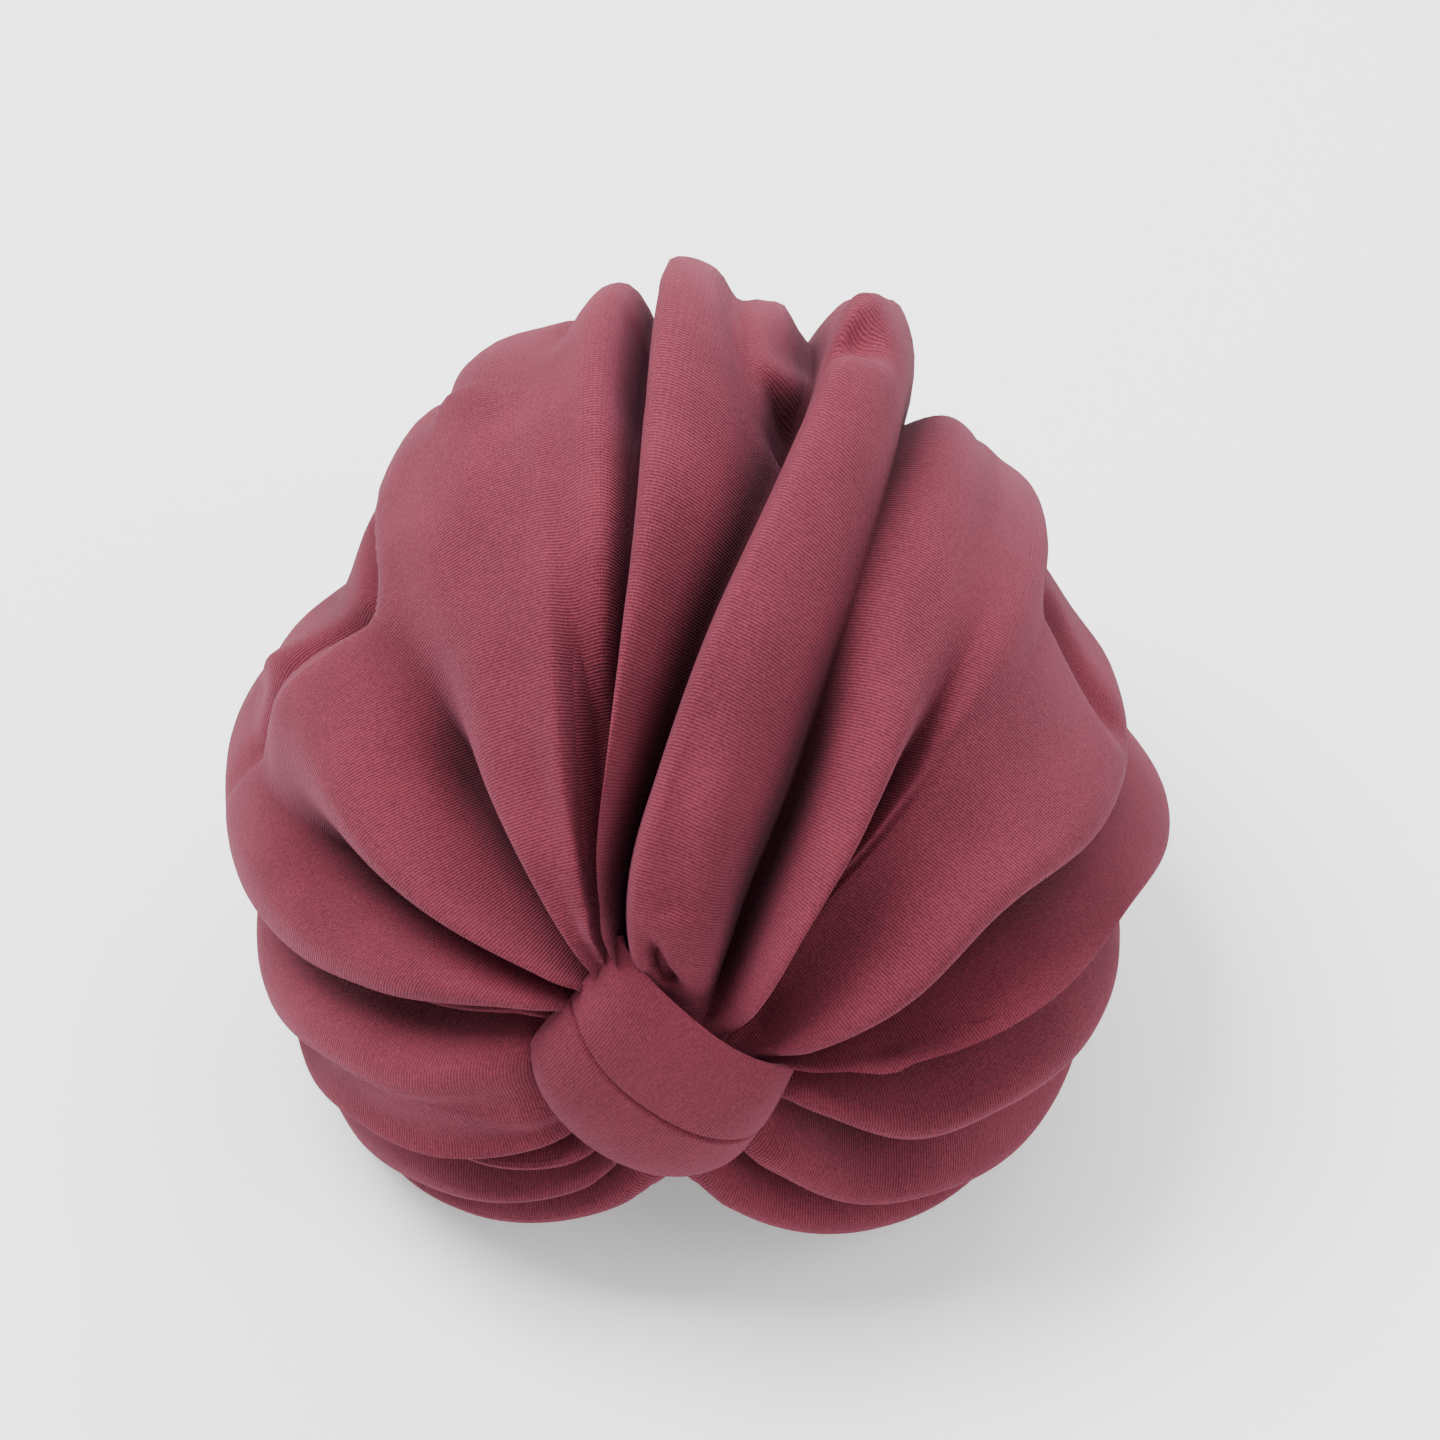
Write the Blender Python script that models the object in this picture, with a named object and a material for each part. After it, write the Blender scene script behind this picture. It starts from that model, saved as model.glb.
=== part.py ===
"""Turban headwrap: a pleated jersey crown gathered at the front under a smooth cloth band.

Metres, +Z up, the front faces -Y and +X is on the right seen from the front.
The origin is in the plane of the rim, in the middle of the head opening.
"""

import math

import bmesh
import bpy
import numpy as np

MM = 0.001

# Base form under the folds, measured from its middle
HALF_WIDTH = 100 * MM
FRONT_REACH = 110 * MM
BACK_REACH = 108 * MM
TOP_REACH = 116 * MM
LOW_REACH = 170 * MM
MIDDLE_HEIGHT = 50 * MM
TOP_TAPER = 0.18
BACK_TAPER = 0.14
FRONT_SQUARENESS = 2.35
RISE_SQUARENESS = 2.1
SQUARE_START = 0.1
SQUARE_RISE = 0.7
RADIUS_PASSES = 10

# Poles that the folds run between, in degrees
GATHER_LIFT = 8.0
GATHER_TURN = -3.0
NAPE_DROP = 30.0
DROP_FROM = 60.0
FOLD_END = 165.0
SIDEWAYS_STEP = 0.5

# Cloth
WALL = 2.4 * MM
FOLD_UNIT = 10 * MM
FLANK_SHARE = 0.15
STEEPNESS = 3.0
CREST_TURN = (45.0, 45.0)
EMERGE_ANGLE = 20.0
LEAN_ANGLE = 25.0
TIGHT_WIDTH = 5 * MM
OPEN_WIDTH = 16 * MM
STEPS_ACROSS_FOLD = 5
ROWS_ALONG_FOLD = 25
ROW_GROWTH = 1.2

# Angles from the gather at which the two tables give their values
STATIONS = (14.0, 25.0, 40.0, 60.0, 90.0, 125.0, 165.0)
LEVELS = (14.0, 25.0, 42.0, 64.0, 92.0, 112.0, 165.0)

# Valleys between the folds, up the +X side and down the -X side
# Columns: name, angle where it comes from under the band, turn round the gather at each station,
# floor over the base form at each level as a share of FOLD_UNIT
VALLEYS = (
    ("rim_right", 12, (-86, -67, -53, -40, -30, -21, 32), (0.4, 0.0, 0.0, -0.2, -0.2, -0.17, 0.0)),
    ("r5_r6", 8, (-56, -46, -39, -34, -24, -13, 38), (-0.4, -0.9, -0.8, -0.7, -0.3, -0.14, 0.0)),
    ("r4_r5", 8, (-10, -19, -17, -17, -16, -6, 44), (-0.8, -1.3, -1.0, -0.8, -0.3, -0.11, 0.0)),
    ("r3_r4", 9, (14, 15, 10, 6, -4, 3, 51), (-0.6, -1.6, -1.6, -1.0, -0.3, -0.11, 0.0)),
    ("r2_r3", 9, (18, 23, 25, 17, 13, 17, 58), (-0.5, -0.9, -1.1, -0.9, -0.4, -0.2, 0.0)),
    ("r2_soft", 8, (38, 49, 49.5, 44, 36, 37, 65), (-0.6, -0.4, 0.5, 1.15, 0.6, 0.1, 0.0)),
    ("r1_r2", 7, (42, 53, 53, 52, 50, 51, 72), (-0.9, -1.3, -0.5, 1.0, 1.2, 0.9, 0.0)),
    ("c2_r1", 8, (64, 66, 66.5, 68, 64, 56, 78), (-0.9, -1.4, -1.1, 0.3, 0.2, -0.4, 0.0)),
    ("c1_c2", 12, (106, 102, 93, 85, 76, 76, 84), (-0.5, -0.8, -0.9, -0.8, -0.5, 0.1, 0.0)),
    ("l6_c1", 13, (107, 105, 100, 96.5, 95.5, 96, 92), (-0.8, -1.3, -1.4, -0.5, -0.9, -0.86, 0.0)),
    ("l6_soft", 12, (111, 109, 107, 106, 108, 106, 100), (0.3, 0.9, 1.2, 1.2, 0.9, 0.7, 0.0)),
    ("l5_l6", 12, (115, 124, 129, 130, 151, 145, 110), (-0.9, -1.6, -1.4, 0.5, 0.1, -0.1, 0.0)),
    ("l4_l5", 11, (126, 140, 156, 164, 168, 157, 118), (-0.8, -1.4, -1.1, 0.8, 1.0, 0.4, 0.0)),
    ("l3b_l4", 10, (137, 159, 173, 181, 184, 170, 122), (-0.6, -1.4, -1.0, -0.6, -0.3, -0.17, 0.0)),
    ("l3_l3b", 10, (147, 168, 178, 184, 187, 174, 127), (-0.5, -0.6, -0.5, -0.6, -0.3, -0.17, 0.0)),
    ("l2_l3", 8, (200, 193, 192, 197, 196, 187, 132), (0.7, 1.1, 0.9, -0.2, -0.3, -0.28, 0.0)),
    ("l1b_l2", 8, (221, 208, 203, 207, 204, 193, 137), (-0.4, -0.7, -0.7, -0.6, -0.3, -0.17, 0.0)),
    ("l1_l1b", 8, (236, 219, 206, 210, 207, 196, 140), (-0.3, -0.5, -0.5, -0.6, -0.3, -0.17, 0.0)),
    ("l0_l1", 10, (251, 234, 226, 220, 212, 199, 144), (-0.2, -0.4, -0.5, -0.5, -0.3, -0.19, 0.0)),
    ("rim_left", 12, (276, 250, 234, 225, 216, 203, 148), (0.4, 0.0, 0.0, -0.2, -0.2, -0.17, 0.0)),
)

# Folds between those valleys, in the same order
# Columns: name, rise at each level as a share of FOLD_UNIT, lean towards the next valley,
# shares of its width at which it is highest near the gather and over the crown,
# fullness of its two sides from 0 for a soft slope to 1 for a steep round one
FOLDS = (
    ("r6", (0.6, 0.9, 0.6, 0.1, 0.0, 0.01, 0.2), -0.2, (0.45, 0.45), (1.0, 0.5)),
    ("r5", (0.6, 1.0, 1.0, 0.8, 0.5, 0.38, 0.3), -0.6, (0.35, 0.35), (1.0, 0.4)),
    ("r4", (0.6, 1.2, 1.3, 1.2, 0.8, 0.61, 0.3), -0.6, (0.35, 0.35), (1.0, 0.1)),
    ("r3", (0.6, 1.3, 1.7, 1.45, 1.9, 1.7, 0.3), -0.7, (0.35, 0.35), (1.0, 0.5)),
    ("r2_low", (0.6, 1.4, 1.6, 1.7, 0.9, -0.1, 0.3), -0.5, (0.4, 0.4), (1.0, 0.1)),
    ("r2_top", (-0.7, -0.6, 0.4, 1.3, 1.35, 1.2, 0.3), 0.0, (0.5, 0.5), (0.1, 0.2)),
    ("r1", (0.6, 1.2, 1.3, 1.2, 1.2, 0.7, 0.3), -0.2, (0.45, 0.45), (0.2, 0.8)),
    ("c2", (0.6, 1.3, 1.5, 1.6, 2.35, 1.9, 0.3), 0.3, (0.78, 0.42), (1.0, 1.0)),
    ("c1", (0.6, 1.2, 1.3, 1.4, 1.8, 1.3, 0.3), 0.25, (0.72, 0.8), (0.5, 1.0)),
    ("l6_back", (0.2, 0.0, -0.2, 1.0, 1.3, 1.0, 0.3), 0.1, (0.4, 0.4), (1.0, 0.1)),
    ("l6", (0.6, 1.0, 1.1, 1.2, 1.45, 1.1, 0.3), 0.0, (0.5, 0.2), (0.1, 0.0)),
    ("l5", (0.6, 1.2, 1.5, 1.6, 0.7, -0.5, 0.3), 0.4, (0.4, 0.4), (0.3, 0.0)),
    ("l4", (0.6, 1.2, 1.4, 1.5, 1.6, 1.35, 0.3), 0.5, (0.35, 0.35), (0.6, 1.0)),
    ("l3b", (0.2, 0.2, 0.0, -0.4, -0.2, -0.09, 0.1), 0.3, (0.5, 0.5), (0.9, 0.9)),
    ("l3", (0.6, 1.3, 1.4, 1.3, 0.9, 0.74, 0.3), 0.4, (0.5, 0.5), (0.9, 0.3)),
    ("l2", (0.6, 1.3, 1.3, 0.9, 0.6, 0.47, 0.3), 0.5, (0.6, 0.6), (0.2, 1.0)),
    ("l1b", (0.6, 0.8, 0.2, -0.4, -0.2, -0.09, 0.1), 0.3, (0.6, 0.6), (0.5, 1.0)),
    ("l1", (0.6, 0.9, 0.8, 0.6, 0.5, 0.44, 0.3), 0.4, (0.6, 0.6), (0.4, 1.0)),
    ("l0", (0.6, 0.8, 0.5, 0.1, 0.0, 0.01, 0.2), 0.2, (0.5, 0.5), (0.6, 0.8)),
)

# Front band: its run along one diagonal of the gather and its spread along the other
BAND_TILT = 45.0
BAND_HEIGHT = 12.5 * MM
BAND_EDGE_HEIGHT = 7.5 * MM
BAND_EDGE_POWER = 3.5
BAND_SEAM_DEPTH = 2.2 * MM
BAND_SEAM_WIDTH = 2.6 * MM
BAND_COLUMNS = 18
BAND_ROWS = 20
# Columns: share across from the lower edge, run where the band starts, run where it ends
BAND_ENDS = (
    (0.00, -22.0 * MM, 15.0 * MM),
    (0.15, -32.0 * MM, 27.0 * MM),
    (0.30, -35.0 * MM, 30.5 * MM),
    (0.60, -37.5 * MM, 27.0 * MM),
    (1.00, -43.0 * MM, 18.0 * MM),
)
# Columns: share along, spread of the lower edge, spread of the seam, spread of the upper edge
BAND_SIDES = (
    (0.0, -24.5 * MM, 3.0 * MM, 25.5 * MM),
    (0.3, -27.0 * MM, -0.2 * MM, 25.0 * MM),
    (0.6, -28.0 * MM, 0.5 * MM, 25.0 * MM),
    (1.0, -24.0 * MM, 7.0 * MM, 28.5 * MM),
)

CROWN_COLOUR = (0.27, 0.052, 0.083, 1.0)
BAND_COLOUR = (0.24, 0.045, 0.073, 1.0)
CLOTH_ROUGHNESS = 0.92


def smooth(share):
    """Share from 0 to 1 with level ends."""
    share = np.clip(share, 0.0, 1.0)
    return share * share * (3.0 - 2.0 * share)


def eased(stations, values, place):
    """Value at each place on a smooth curve through the values at the stations."""
    at = np.asarray(stations, float)
    value = np.asarray(values, float)
    slope = np.gradient(value, at)
    cell = np.clip(np.searchsorted(at, place) - 1, 0, len(at) - 2)
    span = at[cell + 1] - at[cell]
    share = np.clip((place - at[cell]) / span, 0.0, 1.0)
    rest = 1.0 - share
    leave = value[cell] * (1.0 + 2.0 * share) + slope[cell] * span * share
    reach = value[cell + 1] * (3.0 - 2.0 * share) - slope[cell + 1] * span * rest
    return leave * rest**2 + reach * share**2


def gather_axes():
    """Axes of the front gather: out of it, to the +X side and up along the cloth."""
    lift = math.radians(GATHER_LIFT)
    turn = math.radians(GATHER_TURN)
    level = math.cos(lift)
    front = np.array([math.sin(turn) * level, -math.cos(turn) * level, math.sin(lift)])
    side = np.array([math.cos(turn), math.sin(turn), 0.0])
    return front, side, np.cross(front, side)


def direction(around, along):
    """Unit directions from the middle of the base form, from angles in degrees.

    around is the turn round the gather from the +X side, along is the angle away from it.
    """
    front, side, up = gather_axes()
    away = np.radians(along)[..., None]
    turn = np.radians(around)[..., None]
    way = np.cos(away) * front + np.sin(away) * (np.cos(turn) * side + np.sin(turn) * up)
    drop = math.radians(NAPE_DROP) * smooth((along - DROP_FROM) / (180.0 - DROP_FROM))
    cos, sin = np.cos(drop), np.sin(drop)
    x, y, z = np.moveaxis(way, -1, 0)
    return np.stack([x, y * cos + z * sin, z * cos - y * sin], -1)


def base_radius(way):
    """Distance from the middle to the base form along each unit direction."""
    radius = np.full(way.shape[:-1], HALF_WIDTH)
    for _ in range(RADIUS_PASSES):
        x, y, z = np.moveaxis(way * radius[..., None], -1, 0)
        rearward = np.clip(y / BACK_REACH, 0.0, 1.0)
        upward = np.clip(z / TOP_REACH, 0.0, 1.0)
        width = HALF_WIDTH * (1.0 - TOP_TAPER * smooth(upward) - BACK_TAPER * smooth(rearward))
        depth = np.where(y < 0.0, FRONT_REACH, BACK_REACH)
        height = np.where(z > 0.0, TOP_REACH, LOW_REACH)
        roundness = np.clip(z / (SQUARE_RISE * TOP_REACH) + SQUARE_START + rearward, 0.0, 1.0)
        square = FRONT_SQUARENESS + (2.0 - FRONT_SQUARENESS) * roundness
        ring = (np.abs(x) / width) ** square + (np.abs(y) / depth) ** square
        level = ring ** (RISE_SQUARENESS / square) + (np.abs(z) / height) ** RISE_SQUARENESS
        radius = radius / level ** (1.0 / RISE_SQUARENESS)
    return radius


def on_form(way, height):
    """Points over the base form by the given heights, in the part's own frame."""
    point = way * (base_radius(way) + height)[..., None]
    return point + np.array([0.0, 0.0, MIDDLE_HEIGHT])


def arch(fold, across, along):
    """Share of a fold's rise at one share of its width and each angle from the gather."""
    near, far = fold[3]
    crest = near + (far - near) * smooth((along - CREST_TURN[0]) / CREST_TURN[1])
    total = np.ones(len(along))
    for side, full in zip((across / crest, (1.0 - across) / (1.0 - crest)), fold[4]):
        side = np.clip(side, 0.0, 1.0)
        steep = 1.0 - (1.0 - side) ** STEEPNESS
        total *= (1.0 - full) * smooth(side) + full * steep
    return total


def fold_line(number, across):
    """Outer and inner points of one line along a fold, from the band to the nape.

    number is the fold's row in the table and across is the share of its width.
    """
    low, high = VALLEYS[number], VALLEYS[number + 1]
    fold = FOLDS[number]
    mix = smooth(across)
    begin = low[1] + (high[1] - low[1]) * mix
    rows = np.linspace(0.0, 1.0, ROWS_ALONG_FOLD) ** ROW_GROWTH
    along = begin + (FOLD_END - begin) * rows
    turn_low = eased(STATIONS, low[2], along)
    turn_high = eased(STATIONS, high[2], along)
    around = turn_low + (turn_high - turn_low) * across
    floor = eased(LEVELS, low[3], along) * (1.0 - mix) + eased(LEVELS, high[3], along) * mix
    emerged = smooth((along - begin) / EMERGE_ANGLE)
    floor = FOLD_UNIT * floor * emerged
    rise = FOLD_UNIT * eased(LEVELS, fold[1], along) * emerged
    height = floor + (rise - floor) * arch(fold, across, along)

    way = direction(around, along)
    sideways = direction(around + SIDEWAYS_STEP, along) - way
    sideways /= np.linalg.norm(sideways, axis=-1, keepdims=True)
    radius = base_radius(way)
    width = np.radians(turn_high - turn_low) * radius * np.sin(np.radians(along))
    lean_by = fold[2] * rise * math.sin(math.pi * across) * smooth((along - begin) / LEAN_ANGLE)
    outer = on_form(way, height) + sideways * lean_by[:, None]

    openness = smooth((width - TIGHT_WIDTH) / (OPEN_WIDTH - TIGHT_WIDTH))
    inner_height = floor - WALL + (height - floor) * openness
    flank = np.minimum(WALL, FLANK_SHARE * width) * math.sin(2.0 * math.pi * across)
    inner_shift = (lean_by + flank) * openness
    inner = on_form(way, inner_height) + sideways * inner_shift[:, None]
    return outer, inner


def loft_shell(name, outer, inner):
    """Closed mesh between two grids of points that share their columns and rows."""
    columns, rows = outer.shape[:2]
    mesh = bpy.data.meshes.new(name)
    model = bmesh.new()
    out = [[model.verts.new(outer[c, r]) for r in range(rows)] for c in range(columns)]
    into = [[model.verts.new(inner[c, r]) for r in range(rows)] for c in range(columns)]
    for c in range(columns - 1):
        for r in range(rows - 1):
            model.faces.new((out[c][r], out[c + 1][r], out[c + 1][r + 1], out[c][r + 1]))
            model.faces.new((into[c][r], into[c][r + 1], into[c + 1][r + 1], into[c + 1][r]))
    for c in range(columns - 1):
        model.faces.new((out[c][0], into[c][0], into[c + 1][0], out[c + 1][0]))
        model.faces.new((out[c][-1], out[c + 1][-1], into[c + 1][-1], into[c][-1]))
    for r in range(rows - 1):
        model.faces.new((out[0][r], out[0][r + 1], into[0][r + 1], into[0][r]))
        model.faces.new((out[-1][r], into[-1][r], into[-1][r + 1], out[-1][r + 1]))
    bmesh.ops.triangulate(model, faces=model.faces[:])
    bmesh.ops.recalc_face_normals(model, faces=model.faces[:])
    model.to_mesh(mesh)
    model.free()
    mesh.shade_smooth()
    return mesh


def cloth_material(name, colour):
    """Matt jersey cloth."""
    material = bpy.data.materials.new(name)
    material.use_nodes = True
    shader = material.node_tree.nodes["Principled BSDF"]
    shader.inputs["Base Color"].default_value = colour
    shader.inputs["Roughness"].default_value = CLOTH_ROUGHNESS
    shader.inputs["Metallic"].default_value = 0.0
    return material


def add_part(name, mesh, material, collection):
    """Object for one finished mesh."""
    part = bpy.data.objects.new(name, mesh)
    mesh.materials.append(material)
    collection.objects.link(part)
    return part


def make_crown(collection):
    """Pleated crown cloth: one wide piece whose folds fan out from the front gather."""
    lines = [fold_line(0, 0.0)]
    for number in range(len(FOLDS)):
        for step in range(1, STEPS_ACROSS_FOLD + 1):
            lines.append(fold_line(number, step / STEPS_ACROSS_FOLD))
    outer = np.array([line[0] for line in lines])
    inner = np.array([line[1] for line in lines])
    mesh = loft_shell("crown_cloth", outer, inner)
    return add_part("crown_cloth", mesh, cloth_material("crown_jersey", CROWN_COLOUR), collection)


def band_point(along, across, under):
    """Point of the band at shares of its length and width, sunk by under."""
    front, side, up = gather_axes()
    rows = np.array(BAND_ENDS)
    start = eased(rows[:, 0], rows[:, 1], across)
    end = eased(rows[:, 0], rows[:, 2], across)
    sides = np.array(BAND_SIDES)
    low = eased(sides[:, 0], sides[:, 1], along)
    seam = eased(sides[:, 0], sides[:, 2], along)
    high = eased(sides[:, 0], sides[:, 3], along)
    run = start + (end - start) * along
    spread = low + (high - low) * across
    tilt = math.radians(BAND_TILT)
    right = run * math.cos(tilt) + spread * math.sin(tilt)
    rise = spread * math.cos(tilt) - run * math.sin(tilt)
    reach = base_radius(front[None])[0] + BAND_HEIGHT
    way = front * reach + side * right + up * rise
    way = way / np.linalg.norm(way)
    middle = 1.0 - abs(2.0 * along - 1.0) ** BAND_EDGE_POWER
    middle *= 1.0 - abs(2.0 * across - 1.0) ** BAND_EDGE_POWER
    height = BAND_EDGE_HEIGHT + (BAND_HEIGHT - BAND_EDGE_HEIGHT) * middle
    height -= BAND_SEAM_DEPTH * math.exp(-(((spread - seam) / BAND_SEAM_WIDTH) ** 2))
    return on_form(way[None], np.array([height - under]))[0]


def make_band(collection):
    """Front band: a smooth strap laid slantwise over the gather, with one seam along it."""
    grids = []
    for under in (0.0, WALL):
        grid = [[band_point(a, b, under) for b in np.linspace(0.0, 1.0, BAND_ROWS)]
                for a in np.linspace(0.0, 1.0, BAND_COLUMNS)]
        grids.append(np.array(grid))
    mesh = loft_shell("front_band", *grids)
    return add_part("front_band", mesh, cloth_material("band_jersey", BAND_COLOUR), collection)


def clear_scene():
    """Remove whatever the file holds."""
    for thing in list(bpy.data.objects):
        bpy.data.objects.remove(thing)


def main():
    """Build the headwrap."""
    clear_scene()
    collection = bpy.data.collections.new("turban_headwrap")
    bpy.context.scene.collection.children.link(collection)
    make_crown(collection)
    make_band(collection)


main()
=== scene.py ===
"""Turban headwrap: a pleated maroon jersey crown gathered under a smooth slanted band.

Metres, +Z up. The front faces -Y and the origin is in the middle of the rim's opening.
"""

from __future__ import annotations

import logging
import math
from dataclasses import dataclass
from enum import Enum

import bpy
import numpy as np
from mathutils import Matrix, Vector

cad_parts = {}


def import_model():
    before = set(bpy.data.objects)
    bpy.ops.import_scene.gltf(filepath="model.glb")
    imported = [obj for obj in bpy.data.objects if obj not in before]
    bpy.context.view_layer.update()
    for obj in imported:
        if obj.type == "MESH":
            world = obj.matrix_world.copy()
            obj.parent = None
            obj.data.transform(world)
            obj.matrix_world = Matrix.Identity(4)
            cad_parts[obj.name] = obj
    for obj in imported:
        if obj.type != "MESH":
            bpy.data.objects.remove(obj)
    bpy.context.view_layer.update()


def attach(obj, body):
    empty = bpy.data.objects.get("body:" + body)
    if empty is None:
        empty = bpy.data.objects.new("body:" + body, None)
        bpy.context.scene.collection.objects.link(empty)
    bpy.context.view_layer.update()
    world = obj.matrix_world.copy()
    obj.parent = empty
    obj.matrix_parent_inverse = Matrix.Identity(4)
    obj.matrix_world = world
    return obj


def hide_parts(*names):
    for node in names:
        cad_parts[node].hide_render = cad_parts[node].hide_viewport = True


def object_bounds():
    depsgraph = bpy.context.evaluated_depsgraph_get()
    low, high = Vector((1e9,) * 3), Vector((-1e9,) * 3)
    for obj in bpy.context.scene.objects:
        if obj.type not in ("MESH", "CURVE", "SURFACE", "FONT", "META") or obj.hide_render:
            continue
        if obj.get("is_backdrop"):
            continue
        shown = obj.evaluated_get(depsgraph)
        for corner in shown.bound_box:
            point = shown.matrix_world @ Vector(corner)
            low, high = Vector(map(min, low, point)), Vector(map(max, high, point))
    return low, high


LOG = logging.getLogger("turban_headwrap")
MM = 0.001
# Angles from the gather, in degrees, for which the tables give turns and heights
STATIONS = (14.0, 25.0, 40.0, 60.0, 90.0, 125.0, 165.0)
LEVELS = (14.0, 25.0, 42.0, 64.0, 92.0, 112.0, 165.0)
# Angles from the gather at which a fold's crest starts to move across it, and over which it moves
CREST_FROM = 45.0
CREST_OVER = 45.0
# Weight of a degree round the gather in a stroke's length, next to a degree away from it
TURN_SHARE = 0.7
# Points closer than this are welded
WELD = 0.01 * MM
# Widths of a bell curve that are kept on each side
BELL_REACH = 3
# Keeps a length from being nothing
TINY = 1e-12


def smooth(share: np.ndarray | float) -> np.ndarray:
    """Share from 0 to 1 with level ends."""
    share = np.clip(share, 0.0, 1.0)
    return share * share * (3.0 - 2.0 * share)


def eased(stations: tuple[float, ...], values: tuple[float, ...], place: np.ndarray) -> np.ndarray:
    """Read a smooth curve through values given at stations.

    Args:
        stations: Places at which the values hold, rising.
        values: One value for each station.
        place: Places to read, of any shape.

    Returns:
        The curve's value at each place.
    """
    at = np.asarray(stations, float)
    value = np.asarray(values, float)
    slope = np.gradient(value, at)
    cell = np.clip(np.searchsorted(at, place) - 1, 0, len(at) - 2)
    span = at[cell + 1] - at[cell]
    share = np.clip((place - at[cell]) / span, 0.0, 1.0)
    rest = 1.0 - share
    leave = value[cell] * (1.0 + 2.0 * share) + slope[cell] * span * share
    reach = value[cell + 1] * (3.0 - 2.0 * share) - slope[cell + 1] * span * rest
    return leave * rest**2 + reach * share**2


class Held(Enum):
    """Ways the cloth is held."""

    GATHERED = "gathered"
    STRETCHED = "stretched"


@dataclass(frozen=True)
class Valley:
    """Crease between two folds.

    start is the angle from the gather where it comes from under the band, turns is its turn
    round the gather at each station, and floors is its floor over the base form at each level,
    in fold units. Angles are in degrees.
    """

    name: str
    start: float
    turns: tuple[float, ...]
    floors: tuple[float, ...]


@dataclass(frozen=True)
class Fold:
    """Fold between two creases.

    rises is its height at each level, in fold units, and lean its slant towards the next
    crease. crest holds the shares of its width at which it is highest, near the gather and
    over the crown, and fullness tells how full its two sides are, from 0 for a soft slope to 1
    for a steep one.
    """

    name: str
    rises: tuple[float, ...]
    lean: float
    crest: tuple[float, float]
    fullness: tuple[float, float]

    def arch(self, across: np.ndarray, along: np.ndarray) -> np.ndarray:
        """Share of the fold's rise.

        Args:
            across: Shares of the fold's width.
            along: Angles from the gather.

        Returns:
            Shares, one for each place.
        """
        near, far = self.crest
        crest = near + (far - near) * smooth((along - CREST_FROM) / CREST_OVER)
        sides = (across / crest, (1.0 - across) / (1.0 - crest))
        total = np.ones_like(along)
        for side, full in zip(sides, self.fullness):
            side = np.clip(side, 0.0, 1.0)
            total = total * ((1.0 - full) * smooth(side) + full * (1.0 - (1.0 - side) ** 3))
        return total


@dataclass(frozen=True)
class Stroke:
    """Ridge or crease that lies on the folds.

    height is its rise, and clockwise and counter are its widths on its two sides, in mm. fades
    are the shares of its length over which its two ends die away. line holds its points, as
    turns round the gather and angles from it.
    """

    name: str
    height: float
    clockwise: float
    counter: float
    fades: tuple[float, float]
    line: tuple[tuple[float, float], ...]

    def over(self, around: np.ndarray, along: np.ndarray, radius: np.ndarray) -> np.ndarray:
        """Height that the stroke adds, in metres.

        Args:
            around: Turns round the gather.
            along: Angles from the gather.
            radius: Distances from the form's middle.

        Returns:
            Heights, one for each place.
        """
        line = np.array(self.line, float)
        degree = np.radians(1.0) * radius
        scale = degree * np.sin(np.radians(along))
        sizes = np.hypot(np.diff(line[:, 0]) * TURN_SHARE, np.diff(line[:, 1]))
        ends = np.concatenate([[0.0], np.cumsum(sizes)]) / sizes.sum()
        nearest = np.full(around.shape, np.inf)
        side = np.zeros(around.shape)
        share = np.zeros(around.shape)
        for number in range(len(line) - 1):
            dx = (line[number + 1, 0] - line[number, 0]) * scale
            dy = (line[number + 1, 1] - line[number, 1]) * degree
            px = (around - line[number, 0]) * scale
            py = (along - line[number, 1]) * degree
            step = np.clip((px * dx + py * dy) / (dx * dx + dy * dy), 0.0, 1.0)
            away = np.hypot(px - step * dx, py - step * dy)
            closer = away < nearest
            nearest = np.where(closer, away, nearest)
            side = np.where(closer, dx * py - dy * px, side)
            place = ends[number] + (ends[number + 1] - ends[number]) * step
            share = np.where(closer, place, share)
        width = np.where(side > 0.0, self.clockwise, self.counter) * MM
        strength = np.exp(-((nearest / width) ** 2)) * self.height * MM
        for fade, place in zip(self.fades, (share, 1.0 - share)):
            if fade > 0.0:
                strength = strength * smooth(place / fade)
        return strength


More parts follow.
